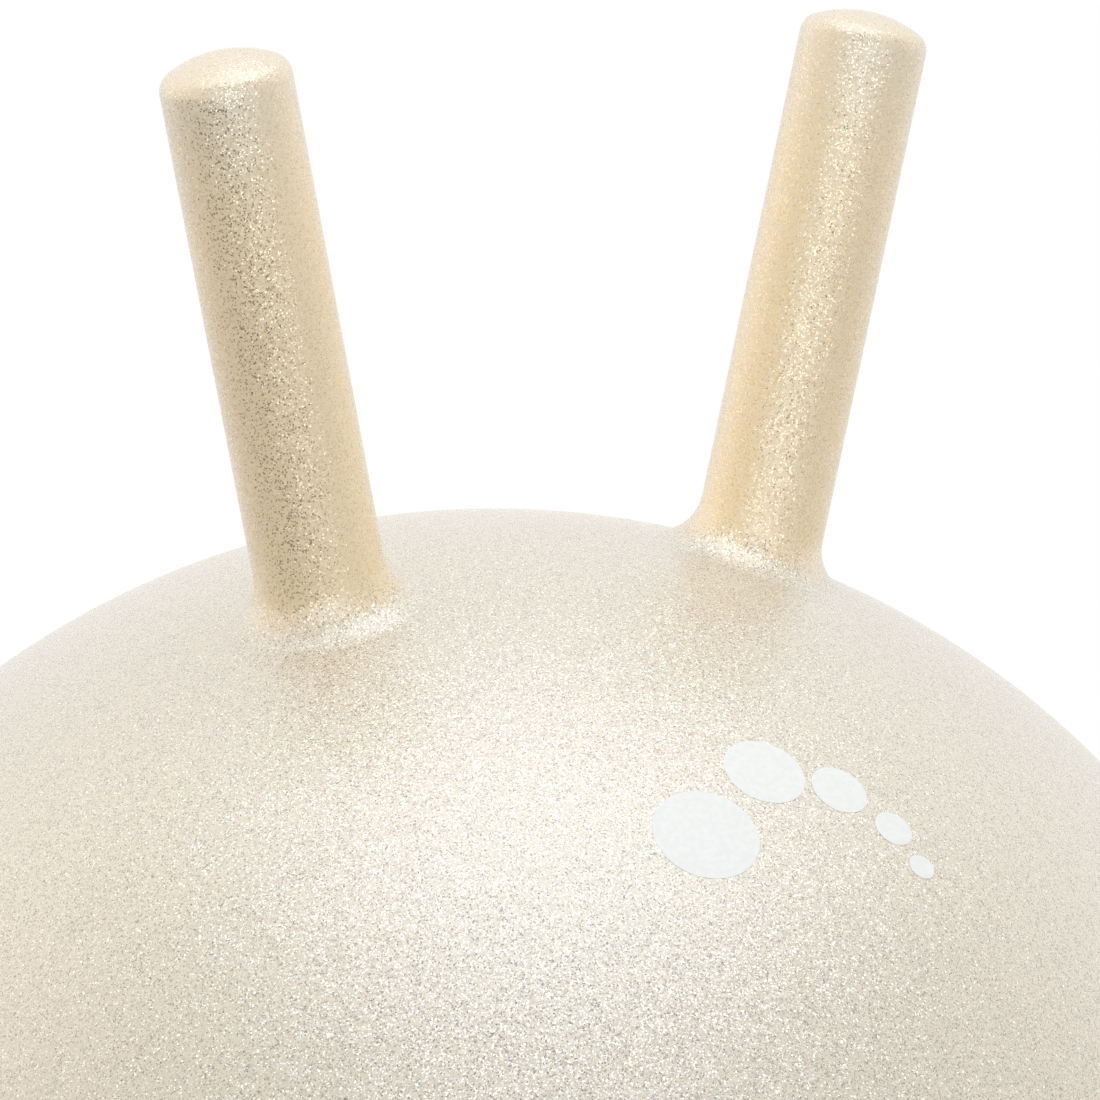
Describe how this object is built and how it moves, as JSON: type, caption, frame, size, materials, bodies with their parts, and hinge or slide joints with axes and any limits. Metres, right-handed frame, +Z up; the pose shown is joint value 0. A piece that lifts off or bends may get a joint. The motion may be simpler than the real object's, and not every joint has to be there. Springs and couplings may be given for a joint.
{
  "type": "hopper ball",
  "caption": "Inflated bouncing ball of glittery soft PVC to sit on and hop, with hollow upright ears to hold and a push-in valve plug at the back.",
  "frame": {"origin": "middle of the flattened patch that the ball rests on, on the floor", "axes": "+Z up, -Y to the front, where the print is, +X to the right ear as seen from the front"},
  "size_m": [0.4499, 0.4498, 0.5782],
  "materials": {
    "skin": "soft PVC, champagne gold, with fine metal glitter in the wall",
    "valve_seat": "soft PVC, champagne gold, moulded into the skin",
    "valve_plug": "soft off-white plug, satin"
  },
  "bodies": {
    "ball": {"ball_skin": "skin", "left_ear_root": "skin", "right_ear_root": "skin", "valve_seat": "valve_seat"},
    "left_ear": {"left_ear": "skin"},
    "right_ear": {"right_ear": "skin"},
    "valve_plug": {"valve_plug": "valve_plug"}
  },
  "joints": [
    {"name": "left_ear_bend", "type": "hinge", "parent": "ball", "child": "left_ear", "pos_m": [-0.06523, -0.02685, 0.44621], "axis": [1, 0, 0], "range_deg": [-25, 25], "stiffness_Nm_per_rad": 5, "deforming": ["left_ear_root"]},
    {"name": "right_ear_bend", "type": "hinge", "parent": "ball", "child": "right_ear", "pos_m": [0.06523, -0.02685, 0.44621], "axis": [1, 0, 0], "range_deg": [-25, 25], "stiffness_Nm_per_rad": 5, "deforming": ["right_ear_root"]},
    {"name": "valve_plug_pull", "type": "slide", "parent": "ball", "child": "valve_plug", "axis": [0, 0.788, -0.6157], "range_m": [0, 0.03]}
  ]
}
